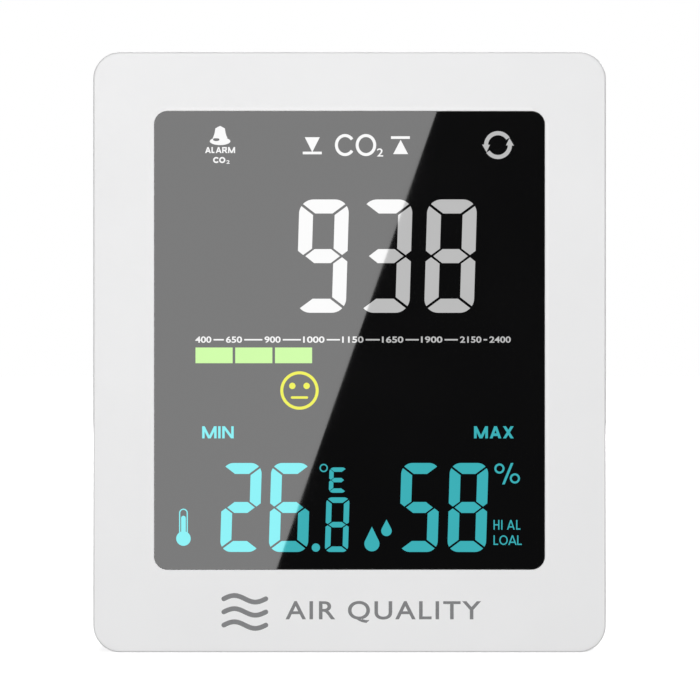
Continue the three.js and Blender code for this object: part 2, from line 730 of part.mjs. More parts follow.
function addBoards() {
  add("main_board", mainBoard(), "board");
  const boardScrew = screw(BOARD_SCREW.size);
  places(BOARD_SCREW).forEach(([x, z], i) =>
    add(`board_screw_${i + 1}`, boardScrew, "steel", [x, BOARD.back, z]),
  );
  const chip = ({ side, x, z }) =>
    plate(side, side, BOARD.back, BOARD.back + CHIP_HEIGHT, x, z);
  add("main_chip", chip(MAIN_CHIP), "chip");
  add("display_driver_chip", chip(DRIVER_CHIP), "chip");
  add("sound_buzzer", buzzer(), "blackPlastic");
  add("charging_socket", usbSocket(), "steel");
  add("humidity_sensor_board", humiditySensorBoard(), "board");
  const { board, sensor } = CLIMATE;
  const seat = BOARD.back + board.lift + board.thickness;
  const cap = plate(sensor.side, sensor.side, seat, seat + sensor.height, board.x, board.z + sensor.rise);
  add("humidity_sensor", cap, "membrane");
}

function addSensor() {
  const { board, header, well, filter } = SENSOR;
  const lifted = BOARD.back + SENSOR.lift;
  const chamber = lifted + board.thickness;
  const lid = chamber + SENSOR.chamber.thickness;
  const headerZ = SENSOR.z - board.height / 2 + header.margin;
  const pins = plate(header.width, header.height, BOARD.back, lifted, 0, headerZ);
  add("co2_sensor_header", pins, "blackPlastic");
  add("co2_sensor_board", plate(board.width, board.height, lifted, chamber, 0, SENSOR.z), "board");
  add("co2_sensor_chamber", sensorChamber(chamber), "gold");
  bothSides(well.x).forEach((x, i) => {
    const disc = rod(filter.radius, lid - filter.from, lid - filter.to, x, SENSOR.z);
    add(`co2_sensor_filter_${i + 1}`, disc, "membrane");
  });
}

function addPower() {
  const middle = (CELL.high + CELL.low) / 2;
  const outline = roundedRect(CELL.width, CELL.high - CELL.low, CELL.corner, 0, middle);
  const cell = slabGeometry(outline, CELL.front, CELL.back, { edge: CELL.edge });
  const tape = plate(CELL_TAPE.width, CELL_TAPE.height, CELL.back, TUB.inside, 0, middle);
  add("lithium_cell", cell, "cell");
  add("cell_tape", tape, "foam");
  add("cell_plug", plate(PLUG.width, PLUG.height, BOARD.back, PLUG.back, PLUG.x, PLUG.z), "milky");
  add("cell_wire_positive", cellWire(PLUG.x - WIRE.x), "redWire");
  add("cell_wire_negative", cellWire(PLUG.x + WIRE.x), "blackWire");
}

function addKeys() {
  add("key_board", keyBoard(), "board");
  add("key_ribbon", keyRibbon(), "ribbon");
  const keyScrew = screw(KEY_SCREW.size);
  keyScrew.rotateX(Math.PI);
  bothSides(KEY_SCREW.x).forEach((x, i) =>
    add(`key_board_screw_${i + 1}`, keyScrew, "steel", [x, KEY_BOARD.front, KEY_Z]),
  );
  const cap = geometryOf(keyCap());
  for (let i = 0; i < KEY_COUNT; i++) {
    add(`key_switch_${i + 1}`, tactSwitch(i), "blackPlastic");
    const plunger = rod(SWITCH.plunger, SWITCH.plungerFoot, KEY.flangeFront, keyX(i), KEY_Z, 16);
    add(`key_plunger_${i + 1}`, plunger, "whitePlastic");
    add(`key_cap_${i + 1}`, cap, "keyCap", [keyX(i), 0, KEY_Z]);
  }
}

function addLeg() {
  add("stand_leg", standLeg(), "whiteAbs");
  const { width, height, inset, drop } = FOOT_PAD;
  const pad = plate(width, height, LEG.front + inset, LEG.back - inset, 0, LEG.foot + drop);
  add("leg_foot_pad", pad, "rubber");
}

addCase();
addDisplay();
addBoards();
addSensor();
addPower();
addKeys();
addLeg();

export default monitor;
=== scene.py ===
"""Looks for a desktop carbon dioxide monitor: white case, glossy window, lit display, keys and leg.

Lengths are in metres. X runs to the right of the display, Y from the front to the back, and Z upwards.
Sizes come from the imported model's own boxes. Details that no box gives are in millimetres, as N * MM.
"""

import json
import math

import bmesh
import bpy
from mathutils import Matrix, Vector


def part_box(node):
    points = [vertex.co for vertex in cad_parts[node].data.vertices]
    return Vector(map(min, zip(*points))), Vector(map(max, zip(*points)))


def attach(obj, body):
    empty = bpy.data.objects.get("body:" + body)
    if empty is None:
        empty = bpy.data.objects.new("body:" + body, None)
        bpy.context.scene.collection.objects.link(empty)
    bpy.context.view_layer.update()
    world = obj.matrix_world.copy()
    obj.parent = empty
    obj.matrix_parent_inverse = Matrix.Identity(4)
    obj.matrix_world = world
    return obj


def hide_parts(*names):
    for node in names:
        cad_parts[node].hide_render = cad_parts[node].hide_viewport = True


MM = 0.001

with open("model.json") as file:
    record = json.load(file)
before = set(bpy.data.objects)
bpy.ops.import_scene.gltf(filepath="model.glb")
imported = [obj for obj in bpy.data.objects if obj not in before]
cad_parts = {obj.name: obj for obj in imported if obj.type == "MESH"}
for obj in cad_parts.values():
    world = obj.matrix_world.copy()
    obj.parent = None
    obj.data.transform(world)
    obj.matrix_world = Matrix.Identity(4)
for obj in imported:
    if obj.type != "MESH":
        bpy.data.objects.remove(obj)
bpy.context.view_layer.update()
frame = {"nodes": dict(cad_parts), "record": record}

# ---------------------------------------------------------------- sizes taken from the frame

bezel_low, bezel_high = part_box("front_bezel")
lens_low, lens_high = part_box("display_lens")
leg_low, leg_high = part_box("stand_leg")

FRONT = bezel_low.y
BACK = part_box("rear_cover")[1].y
CASE_WIDTH = bezel_high.x - bezel_low.x
CASE_HEIGHT = bezel_high.z - bezel_low.z
CASE_MIDDLE = (bezel_high.z + bezel_low.z) / 2
CORNER = 6.2 * MM
WALL = 2.2 * MM

LENS_GAP = 0.12 * MM
WINDOW_WIDTH = lens_high.x - lens_low.x + 2 * LENS_GAP
WINDOW_HEIGHT = lens_high.z - lens_low.z + 2 * LENS_GAP
WINDOW_MIDDLE = (lens_high.z + lens_low.z) / 2
WINDOW_CORNER = 3.1 * MM

PRINT = 0.03 * MM  # how far the printed mark stands proud of the bezel
INLAY = 0.012 * MM  # how far the lit segments stand proud of the window
STEP = 0.002 * MM  # how much higher each overlapping stroke stands
PARTING_GAP = 0.3 * MM
SEAM = FRONT + 9.5 * MM

# ---------------------------------------------------------------- outlines, as lists of (across, up)


def rounded(width, height, radius, steps=12, centre=(0, 0)):
    """A rectangle with round corners, anticlockwise from its right-hand side."""
    points = []
    for corner in range(4):
        turn = corner * math.pi / 2
        side = 1 if corner in (0, 3) else -1
        top = 1 if corner in (0, 1) else -1
        middle_x = centre[0] + side * (width / 2 - radius)
        middle_y = centre[1] + top * (height / 2 - radius)
        for step in range(steps + 1):
            angle = turn + step / steps * math.pi / 2
            points.append((middle_x + radius * math.cos(angle), middle_y + radius * math.sin(angle)))
    return points


def stadium(width, height, centre=(0, 0), steps=8):
    return rounded(width, height, min(width, height) / 2 * 0.999, steps, centre)


def circle(radius, centre=(0, 0), steps=32):
    turns = [2 * math.pi * step / steps for step in range(steps)]
    return [(centre[0] + radius * math.cos(t), centre[1] + radius * math.sin(t)) for t in turns]


def arc(radius, start, end, centre=(0, 0), steps=8):
    """Points along an arc, from one angle to another in degrees."""
    turns = [math.radians(start + (end - start) * step / steps) for step in range(steps + 1)]
    return [(centre[0] + radius * math.cos(t), centre[1] + radius * math.sin(t)) for t in turns]


def box_outline(x, y, width, height):
    return [
        (x - width / 2, y - height / 2),
        (x + width / 2, y - height / 2),
        (x + width / 2, y + height / 2),
        (x - width / 2, y + height / 2),
    ]


def stroke(points, width, steps=5):
    """A smooth line of points thickened to a width, with round ends."""
    near, far, headings = [], [], []
    for i, (x, y) in enumerate(points):
        ahead = points[min(i + 1, len(points) - 1)]
        behind = points[max(i - 1, 0)]
        along = Vector((ahead[0] - behind[0], ahead[1] - behind[1])).normalized() * width / 2
        near.append((x + along.y, y - along.x))
        far.insert(0, (x - along.y, y + along.x))
        headings.append(math.degrees(math.atan2(along.y, along.x)))
    last, first = headings[-1], headings[0]
    end_cap = arc(width / 2, last - 90, last + 90, points[-1], steps)[1:-1]
    start_cap = arc(width / 2, first + 90, first + 270, points[0], steps)[1:-1]
    return near + end_cap + far + start_cap


def bar(start, end, weight):
    """A straight stroke with level ends, or with upright ends where the stroke itself is level."""
    (x, y), (far_x, far_y) = start, end
    run, rise = far_x - x, far_y - y
    if abs(rise) < abs(run) / 10:
        half = weight / 2
        return [(x, y - half), (far_x, far_y - half), (far_x, far_y + half), (x, y + half)]
    half = weight / 2 * math.hypot(run, rise) / abs(rise)
    return [(x - half, y), (x + half, y), (far_x + half, far_y), (far_x - half, far_y)]


def oval(centre, across, up, start=0, end=360, steps=40):
    """Points of an upright ellipse, from one angle to another in degrees. A whole one isn't closed."""
    points = []
    for step in range(steps if end - start == 360 else steps + 1):
        turn = math.radians(start + (end - start) * step / steps)
        points.append((centre[0] + across * math.cos(turn), centre[1] + up * math.sin(turn)))
    return points


# ---------------------------------------------------------------- meshes


def new_object(name, mesh):
    piece = bpy.data.objects.new(name, mesh)
    bpy.context.scene.collection.objects.link(piece)
    return piece


def mesh_from(bm, name):
    bmesh.ops.recalc_face_normals(bm, faces=bm.faces)
    mesh = bpy.data.meshes.new(name)
    bm.to_mesh(mesh)
    bm.free()
    return mesh


def loft(name, rings, closed=False):
    """A skin over rings of equal length. It is closed on itself, or capped at its two ends."""
    bm = bmesh.new()
    rows = [[bm.verts.new(point) for point in ring] for ring in rings]
    count = len(rows[0])
    pairs = list(zip(rows, rows[1:]))
    if closed:
        pairs.append((rows[-1], rows[0]))
    for low, high in pairs:
        for i in range(count):
            j = (i + 1) % count
            bm.faces.new((low[i], low[j], high[j], high[i]))
    if not closed:
        bm.faces.new(rows[0])
        bm.faces.new(rows[-1])
    return new_object(name, mesh_from(bm, name))


def ring_at(depth, outline):
    """A front-view outline at a place along Y."""
    return [(x, depth, z) for x, z in outline]


def prism(name, outline, start, end):
    """An outline pushed along Y from start to end."""
    return loft(name, [ring_at(start, outline), ring_at(end, outline)])


def prism_across(name, outline, start, end):
    """An outline of (y, z) pushed along X from start to end."""
    return loft(name, [[(x, y, z) for y, z in outline] for x in (start, end)])


def combine(piece, operation, tools):
    """Cuts a piece with closed tools, or joins them to it, and removes the tools."""
    for tool in tools:
        modifier = piece.modifiers.new("combine", "BOOLEAN")
        modifier.operation = operation
        modifier.solver = "EXACT"
        modifier.object = tool
    settle(piece)
    for tool in tools:
        bpy.data.objects.remove(tool)
    return piece


def settle(piece):
    """Replaces a piece's mesh by what its modifiers make of it."""
    bpy.context.view_layer.update()
    graph = bpy.context.evaluated_depsgraph_get()
    mesh = bpy.data.meshes.new_from_object(piece.evaluated_get(graph))
    piece.modifiers.clear()
    piece.data = mesh
    return piece


def soften(piece, width=0, segments=2, angle=32):
    """Rounds a piece's sharp edges and shades it smoothly between them."""
    if width:
        bevel = piece.modifiers.new("edges", "BEVEL")
        bevel.width = width
        bevel.segments = segments
        bevel.limit_method = "ANGLE"
        bevel.angle_limit = math.radians(angle)
        bevel.use_clamp_overlap = False
        settle(piece)
    smooth(piece.data, angle)
    flatten = piece.modifiers.new("flat faces", "WEIGHTED_NORMAL")
    flatten.keep_sharp = True
    return settle(piece)


def smooth(mesh, angle=32):
    mesh.polygons.foreach_set("use_smooth", [True] * len(mesh.polygons))
    mesh.set_sharp_from_angle(angle=math.radians(angle))


def dress(piece, material, body, replaces=()):
    """Gives a finished piece its material and its body, and hides the nodes it stands for."""
    piece.data.materials.clear()
    piece.data.materials.append(material)
    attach(piece, body)
    if replaces:
        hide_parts(*replaces)
    return piece


# ---------------------------------------------------------------- materials


def fill_in(node, values):
    """Sets some of a node's inputs, by name or by number."""
    for name, value in values.items():
        node.inputs[name].default_value = value
    return node


def add_node(tree, kind, values):
    """A new shader node, with some of its inputs set."""
    return fill_in(tree.nodes.new("ShaderNode" + kind), values)


def nodes_of(material, values):
    """A material's node tree and its shader, with some of the shader's inputs set."""
    material.use_nodes = True
    tree = material.node_tree
    return tree, fill_in(tree.nodes["Principled BSDF"], values)


def noise(tree, scale, detail=4, roughness=0.55):
    """Solid noise in the object's own space; scale is in features per metre."""
    place = add_node(tree, "TexCoord", {})
    values = {"Scale": scale, "Detail": detail, "Roughness": roughness}
    texture = add_node(tree, "TexNoise", values)
    tree.links.new(place.outputs["Object"], texture.inputs["Vector"])
    return texture.outputs["Fac"]


def spread(tree, source, low, high, start=0.25, end=0.75):
    """Maps a value from start to end onto low to high."""
    values = {"From Min": start, "From Max": end, "To Min": low, "To Max": high}
    node = add_node(tree, "MapRange", values)
    tree.links.new(source, node.inputs["Value"])
    return node.outputs["Result"]


def shades(tree, source, low, high):
    """A colour that wanders between two shades as a value goes from 0 to 1."""
    node = tree.nodes.new("ShaderNodeMix")
    node.data_type = "RGBA"
    fill_in(node, {6: (*low, 1), 7: (*high, 1)})
    tree.links.new(source, node.inputs[0])
    return node.outputs[2]


def bump(tree, shader, source, height):
    """Bumps a shader by a texture whose full range is height metres tall."""
    node = add_node(tree, "Bump", {"Distance": height, "Strength": 1.0})
    tree.links.new(source, node.inputs["Height"])
    tree.links.new(node.outputs["Normal"], shader.inputs["Normal"])


def scaled(colour, factor):
    return tuple(channel * factor for channel in colour)


def moulded(name, colour, roughness, grain=0.004 * MM, scale=2600, level=0.5, metallic=0.0, vary=0.03):
    """Moulded plastic, metal or film: a fine grain, cloudy gloss and a slight drift of colour.

    The grain is in metres, its scale in features per metre, and level is the strength of the gloss.
    """
    material = bpy.data.materials.new(name)
    tree, shader = nodes_of(material, {"Specular IOR Level": level, "Metallic": metallic})
    cloud = noise(tree, 40, 3)
    fine = noise(tree, scale, 3)
    tint = shades(tree, cloud, scaled(colour, 1 - vary), scaled(colour, 1 + vary))
    tree.links.new(tint, shader.inputs["Base Color"])
    gloss = spread(tree, fine, roughness * 0.88, roughness * 1.12)
    tree.links.new(gloss, shader.inputs["Roughness"])
    bump(tree, shader, fine, grain)
    return material


def plastic_with_edge_highlight(name, colour, edge_highlight_colour, roughness, grain=0.004 * MM, scale=2600):
    """Moulded plastic with a painted highlight on its edges: a little brighter where the surface is
    sharply convex, which also stands for handling wear.
    """
    material = moulded(name, colour, roughness, grain, scale)
    tree, shader = nodes_of(material, {})
    base = shader.inputs["Base Color"].links[0].from_socket
    # Painted highlight: edges found by their pointiness are lightened towards the second colour.
    geometry = add_node(tree, "NewGeometry", {})
    edge_highlight_mask = spread(tree, geometry.outputs["Pointiness"], 0, 1, 0.52, 0.6)
    tint = shades(tree, edge_highlight_mask, colour, edge_highlight_colour)
    tree.links.new(base, tint.node.inputs[6])
    tree.links.new(tint, shader.inputs["Base Color"])
    return material


def glossy_black(name):
    """The window: dark glass with a faint smear in its polish."""
    material = bpy.data.materials.new(name)
    tree, shader = nodes_of(material, {"IOR": 1.5})
    smear = noise(tree, 55, 5, 0.6)
    tint = shades(tree, smear, (0.0044, 0.0044, 0.0046), (0.0052, 0.0052, 0.0054))
    tree.links.new(tint, shader.inputs["Base Color"])
    tree.links.new(spread(tree, smear, 0.008, 0.02), shader.inputs["Roughness"])
    return material


def lit(name, colour, gloss_tint=(1, 1, 1), index=1.9):
    """A lit segment: its own light, slightly uneven as a backlight is, under the window's gloss."""
    material = bpy.data.materials.new(name)
    values = {
        "Emission Strength": 1,
        "Base Color": (0.004, 0.004, 0.004, 1),
        "Roughness": 0.015,
        "IOR": index,
        "Specular Tint": (*gloss_tint, 1),
    }
    tree, shader = nodes_of(material, values)
    glow = shades(tree, noise(tree, 90, 2), scaled(colour, 0.97), scaled(colour, 1.03))
    tree.links.new(glow, shader.inputs["Emission Color"])
    return material


def brushed(name, colour, roughness):
    """Metal with fine lines drawn along Z."""
    material = moulded(name, colour, roughness, 0.002 * MM, 900, metallic=1.0)
    tree, shader = nodes_of(material, {})
    place = add_node(tree, "TexCoord", {})
    stretch = add_node(tree, "Mapping", {"Scale": (5000, 5000, 200)})
    lines = add_node(tree, "TexNoise", {"Scale": 1})
    tree.links.new(place.outputs["Object"], stretch.inputs["Vector"])
    tree.links.new(stretch.outputs["Vector"], lines.inputs["Vector"])
    gloss = spread(tree, lines.outputs["Fac"], roughness * 0.7, roughness * 1.3)
    tree.links.new(gloss, shader.inputs["Roughness"])
    return material


def circuit_board(name):
    """Green solder mask over copper tracks, which show as a slightly raised, lighter pattern."""
    material = bpy.data.materials.new(name)
    tree, shader = nodes_of(material, {})
    values = {
        "Scale": 300,
        "Mortar Size": 0.012,
        "Color1": (0.012, 0.1, 0.04, 1),
        "Color2": (0.016, 0.12, 0.048, 1),
        "Mortar": (0.04, 0.2, 0.08, 1),
    }
    tracks = add_node(tree, "TexBrick", values)
    place = add_node(tree, "TexCoord", {})
    turned = add_node(tree, "Mapping", {"Rotation": (math.pi / 2, 0, 0)})
    tree.links.new(place.outputs["Object"], turned.inputs["Vector"])
    tree.links.new(turned.outputs["Vector"], tracks.inputs["Vector"])
    tree.links.new(tracks.outputs["Color"], shader.inputs["Base Color"])
    tree.links.new(spread(tree, noise(tree, 500), 0.25, 0.4), shader.inputs["Roughness"])
    bump(tree, shader, tracks.outputs["Fac"], 0.03 * MM)
    return material


# The case's second, lighter colour is its painted edge highlight.
WHITE_CASE = plastic_with_edge_highlight("white_case", (0.84, 0.84, 0.845), (0.88, 0.88, 0.88), 0.42)
WINDOW = glossy_black("window_gloss")
WHITE_LIGHT = lit("white_light", (0.5, 0.5, 0.5))
CYAN_LIGHT = lit("cyan_light", (0.045, 0.43, 0.47), (0.5, 1, 1))
GREEN_LIGHT = lit("green_light", (0.45, 0.79, 0.22), index=1.5)
YELLOW_LIGHT = lit("yellow_light", (0.71, 0.71, 0.03), (1, 1, 0.5), index=1.5)
GREY_PRINT = moulded("grey_print", (0.127, 0.13, 0.135), 0.4, grain=0.001 * MM)
# The keys' second, lighter colour is their painted edge highlight.
GREY_KEY = plastic_with_edge_highlight("grey_key", (0.52, 0.54, 0.57), (0.6, 0.62, 0.65), 0.38)
STEEL = brushed("bright_steel", (0.5, 0.51, 0.53), 0.28)
BOARD = circuit_board("circuit_board")
RUBBER = moulded("dark_rubber", (0.03, 0.03, 0.031), 0.8, 0.02 * MM, 1400, 0.3)

NODE_MATERIALS = {
    "smoked_lens": WINDOW,
    "display_glass": WINDOW,
    "polariser_film": moulded("polariser_film", (0.02, 0.02, 0.02), 0.25),
    "black_foam": moulded("black_foam", (0.03, 0.03, 0.03), 0.95, 0.08 * MM, 1800, 0.1, vary=0.2),
    "adhesive_tape": moulded("adhesive_tape", (0.04, 0.04, 0.045), 0.7),
    "milky_acrylic": moulded("milky_acrylic", (0.84, 0.86, 0.88), 0.2),
    "white_reflector": moulded("white_reflector", (0.9, 0.9, 0.9), 0.25),
    "white_plastic": moulded("white_plastic", (0.82, 0.82, 0.8), 0.45),
    "white_case": WHITE_CASE,
    "circuit_board": BOARD,
    "black_plastic": moulded("black_plastic", (0.018, 0.018, 0.02), 0.45),
    "chip_epoxy": moulded("chip_epoxy", (0.015, 0.015, 0.017), 0.5, 0.01 * MM, 3000),
    "gold_plate": moulded("gold_plate", (0.75, 0.52, 0.2), 0.28, metallic=1.0),
    "white_membrane": moulded("white_membrane", (0.86, 0.86, 0.83), 0.9, 0.03 * MM, 5000, 0.2),
    "bright_steel": STEEL,
    "amber_film": moulded("amber_film", (0.45, 0.17, 0.03), 0.3),
    "silver_pouch": moulded("silver_pouch", (0.6, 0.62, 0.66), 0.32, 0.05 * MM, 300, metallic=0.8),
    "red_insulation": moulded("red_insulation", (0.5, 0.02, 0.02), 0.4),
    "black_insulation": moulded("black_insulation", (0.02, 0.02, 0.02), 0.4),
    "grey_key": GREY_KEY,
    "dark_rubber": RUBBER,
}

# ---------------------------------------------------------------- camera, floor and light

VIEW_WIDTH = 159.7 * MM  # how much of the face plane the image takes in, across
LENS_LENGTH = 200  # of the camera, in millimetres like the sensor's width
SENSOR = 36
CAMERA_DISTANCE = VIEW_WIDTH * LENS_LENGTH / SENSOR
CAMERA = Vector((0.1 * MM, FRONT - CAMERA_DISTANCE, 69 * MM))
FLOOR_GLOW = (0.68, 0.84)  # the floor's own light beside the monitor, and far from it; the weaker glow beside it paints a soft shadow round the monitor
FLOOR_GLOW_REACH = (0.15, 0.6)  # the distances between which it changes
ROOM_LIGHT = 0.24
LIGHT_SIZE = 1.5
KEY_LIGHT = (8.1, (-0.14, -2.4, 0.26))  # radiance and place
REAR_LIGHT = (6.6, (0.4, 2.2, 1.15))
PANEL_RADIANCE = 4.9
PANEL_SIZE = (0.22, 0.34)
PANEL_BEHIND = 0.03  # how far behind the camera the reflected panel is
FLAG_SIZE = (0.24, 0.28)
REFLECTION_LEAN = math.radians(19.3)  # how far the reflected edge leans to the right at its top
REFLECTION_EDGE = Vector((1.6 * MM, 71.2 * MM))  # a point of the face that the edge crosses


def make_camera():
    data = bpy.data.cameras.new("camera")
    data.lens = LENS_LENGTH
    data.sensor_width = SENSOR
    data.clip_start = 0.05
    data.clip_end = 50
    camera = new_object("camera", data)
    camera.location = CAMERA
    camera.rotation_euler = (math.pi / 2, 0, 0)
    bpy.context.scene.camera = camera


def make_floor():
    """A plain pale floor with a little light of its own, so that it stays as pale as the wall. It glows
    less beside the monitor, which paints a soft shadow round it.
    """
    floor = loft("floor", [[(x, y, z) for x, y in circle(9, steps=96)] for z in (-0.02, 0)])
    material = bpy.data.materials.new("floor")
    values = {"Roughness": 0.9, "Specular IOR Level": 0.1, "Emission Color": (1, 1, 1, 1)}
    tree, shader = nodes_of(material, values)
    tone = shades(tree, noise(tree, 3), (0.87, 0.87, 0.87), (0.89, 0.89, 0.89))
    tree.links.new(tone, shader.inputs["Base Color"])
    place = add_node(tree, "TexCoord", {})
    distance = add_node(tree, "VectorMath", {})
    distance.operation = "LENGTH"
    tree.links.new(place.outputs["Object"], distance.inputs[0])
    # Painted shadow: the glow is weaker near the monitor than far from it.
    glow = spread(tree, distance.outputs["Value"], *FLOOR_GLOW, *FLOOR_GLOW_REACH)
    tree.links.new(glow, shader.inputs["Emission Strength"])
    floor.data.materials.append(material)
    floor.visible_glossy = False
    floor.visible_diffuse = False


def make_wall():
    """White all round for the camera, and softer as a light."""
    world = bpy.data.worlds.new("studio")
    bpy.context.scene.world = world
    world.use_nodes = True
    tree = world.node_tree
    white = (1, 1, 1, 1)
    light = fill_in(tree.nodes["Background"], {"Color": white, "Strength": ROOM_LIGHT})
    seen = add_node(tree, "Background", {"Color": white, "Strength": 1})
    path = add_node(tree, "LightPath", {})
    mix = add_node(tree, "MixShader", {})
    tree.links.new(path.outputs["Is Camera Ray"], mix.inputs["Fac"])
    tree.links.new(light.outputs["Background"], mix.inputs[1])
    tree.links.new(seen.outputs["Background"], mix.inputs[2])
    tree.links.new(mix.outputs["Shader"], tree.nodes["World Output"].inputs["Surface"])


def area_light(name, width, height, radiance, place):
    """A rectangular light that looks as bright as radiance, whatever its size."""
    data = bpy.data.lights.new(name, "AREA")
    data.shape = "RECTANGLE"
    data.size = width
    data.size_y = height
    data.energy = radiance * math.pi * width * height
    light = new_object(name, data)
    light.matrix_world = place
    return light


def aimed(source, target):
    """A place at source whose light shines at target."""
    turn = (Vector(target) - Vector(source)).to_track_quat("-Z", "Y")
    return Matrix.Translation(source) @ turn.to_matrix().to_4x4()


def make_reflection():
    """A bright panel and a black flag behind the camera, which only the window's gloss can see.

    The panel's right-hand edge is where a mirror in the face's plane would show it at REFLECTION_EDGE.
    """
    reach = 2 + PANEL_BEHIND / CAMERA_DISTANCE
    edge_x = CAMERA.x + (REFLECTION_EDGE.x - CAMERA.x) * reach
    edge_z = CAMERA.z + (REFLECTION_EDGE.y - CAMERA.z) * reach
    width, height = PANEL_SIZE
    across = Vector((math.cos(REFLECTION_LEAN), 0, -math.sin(REFLECTION_LEAN)))
    centre = Vector((edge_x, CAMERA.y - PANEL_BEHIND, edge_z)) - across * width / 2
    turn = Matrix.Rotation(REFLECTION_LEAN, 4, "Y") @ Matrix.Rotation(math.pi / 2, 4, "X")
    place = Matrix.Translation(centre) @ turn
    panel = area_light("panel", width, height, PANEL_RADIANCE, place)
    flag_y = CAMERA.y - 2 * PANEL_BEHIND
    flag = prism("flag", box_outline(0, CAMERA.z, *FLAG_SIZE), flag_y - 0.01, flag_y)
    material = bpy.data.materials.new("flag")
    tree, shader = nodes_of(material, {"Specular IOR Level": 0})
    black = shades(tree, noise(tree, 9), (0, 0, 0), (0.002, 0.002, 0.002))
    tree.links.new(black, shader.inputs["Base Color"])
    flag.data.materials.append(material)
    for thing in (panel, flag):
        thing.visible_camera = False
        thing.visible_diffuse = False
        thing.visible_transmission = False
        thing.visible_shadow = False


def make_lights():
    """A large soft light before the monitor and another behind it."""
    for name, (radiance, source) in (("key", KEY_LIGHT), ("rear", REAR_LIGHT)):
        place = aimed(source, (0, 0, CASE_MIDDLE))
        light = area_light(name, LIGHT_SIZE, LIGHT_SIZE, radiance, place)
        light.visible_camera = False


# ---------------------------------------------------------------- case


def case_outline(inset):
    width = CASE_WIDTH - 2 * inset
    height = CASE_HEIGHT - 2 * inset
    return rounded(width, height, CORNER - inset, 16, (0, CASE_MIDDLE))


def window_outline(inset):
    width = WINDOW_WIDTH - 2 * inset
    height = WINDOW_HEIGHT - 2 * inset
    return rounded(width, height, WINDOW_CORNER - inset, 16, (0, WINDOW_MIDDLE))


def rounding(radius, steps):
    """Pairs of (inset, distance from the face) round an edge, from the face to the side."""
    pairs = []
    for step in range(steps + 1):
        turn = step / steps * math.pi / 2
        pairs.append((radius * (1 - math.sin(turn)), radius * (1 - math.cos(turn))))
    return pairs


SUPPORT = 0.6 * MM  # how far inside its rims a flat face has a further ring of points


def make_bezel():
    """The front half as one skin, from the lens's seat over the face and back along the inside."""
    face = FRONT + PRINT
    edge = 0.45 * MM
    rim = 0.06 * MM
    end = SEAM - PARTING_GAP
    end_chamfer = 0.15 * MM
    rebate = case_outline(1.1 * MM)
    rebate_end = end - 1.7 * MM
    seat, seat_back = FRONT + 1.7 * MM, FRONT + 2.8 * MM
    ledge = window_outline(1.5 * MM)
    rings = [
        ring_at(seat, window_outline(0)),
        ring_at(face + rim, window_outline(0)),
        ring_at(face, window_outline(-rim)),
        ring_at(face, window_outline(-SUPPORT)),
        ring_at(face, window_outline(-2 * SUPPORT)),
        ring_at(face, case_outline(edge + 2 * SUPPORT)),
        ring_at(face, case_outline(edge + SUPPORT)),
    ]
    rings += [ring_at(face + depth, case_outline(inset)) for inset, depth in rounding(edge, 8)]
    rings += [
        ring_at(end - end_chamfer, case_outline(0)),
        ring_at(end, case_outline(end_chamfer)),
        ring_at(end, rebate),
        ring_at(rebate_end, rebate),
        ring_at(rebate_end, case_outline(WALL)),
        ring_at(seat_back, case_outline(WALL)),
        ring_at(seat_back, ledge),
        ring_at(seat, ledge),
    ]
    bezel = loft("bezel", rings, closed=True)
    dress(soften(bezel, angle=40), WHITE_CASE, "housing", ["front_bezel"])


def make_window():
    """The lens, grown to all but fill its opening, with its edge just broken."""
    gap = 0.02 * MM
    rings = [ring_at(lens_high.y, window_outline(gap))]
    rings += [
        ring_at(lens_low.y + depth, window_outline(gap + inset))
        for inset, depth in reversed(rounding(0.05 * MM, 3))
    ]
    rings += [ring_at(lens_low.y, window_outline(gap + inset)) for inset in (0.1 * MM, SUPPORT)]
    window = loft("window_glass", rings)
    dress(soften(window), WINDOW, "housing", ["display_lens"])


# ---------------------------------------------------------------- rear cover

BACK_EDGE = 5 * MM
INNER_EDGE = 3.2 * MM
KEY_PANEL = (78 * MM, 12 * MM, BACK - 0.9 * MM)  # width, height and floor
KEY_NAMES = sorted(name for name in frame["nodes"] if name.startswith("key_cap_"))
KEY_SIZE = (9 * MM, 5.5 * MM)
KEY_HOLE_GAP = 0.3 * MM
LEG_TOP = 28 * MM  # half the leg's width at its hinge, and at its foot
LEG_FOOT = 25 * MM
LEG_GAP = 0.4 * MM
LEG_FOOT_ROOM = 0.95 * MM
LEG_FLOOR = FRONT + 25.1 * MM
POCKET_WALL = 2.4 * MM
POCKET_SKIN = 1.6 * MM
THUMB_RADIUS, THUMB_Z, THUMB_DEPTH = 6.5 * MM, 9.1 * MM, 1.5 * MM
VENT_ROWS, VENT_PITCH, VENT_LOW = 8, 3.2 * MM, 84 * MM
VENT_SIZE, VENT_X = (22 * MM, 1.6 * MM), 13.5 * MM
SIDE_VENT_ROWS, SIDE_VENT_LOW = 7, 43 * MM
SIDE_VENT_SIZE, SIDE_VENT_Y = (9 * MM, 1.6 * MM), FRONT + 17 * MM
SOUND_RING, SOUND_HOLE = 3 * MM, 0.8 * MM
INLET_SIZE, INLET_FLARE = (4 * MM, 9.8 * MM), 0.2 * MM
SCREW_NAMES = [f"case_screw_{i}" for i in range(1, 5)]
SCREW_POST, SCREW_WELL = 4 * MM, 3 * MM
SCREW_SEAT = 12 * MM  # from a screw's tip
SIDE_INSIDE = CASE_WIDTH / 2 - 3.3 * MM  # where cuts through a side begin
PAST = 1 * MM  # how far a cutter reaches past what it cuts


def middle_of(node):
    low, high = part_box(node)
    return (low + high) / 2


def key_centre(node):
    middle = middle_of(node)
    return middle.x, middle.z


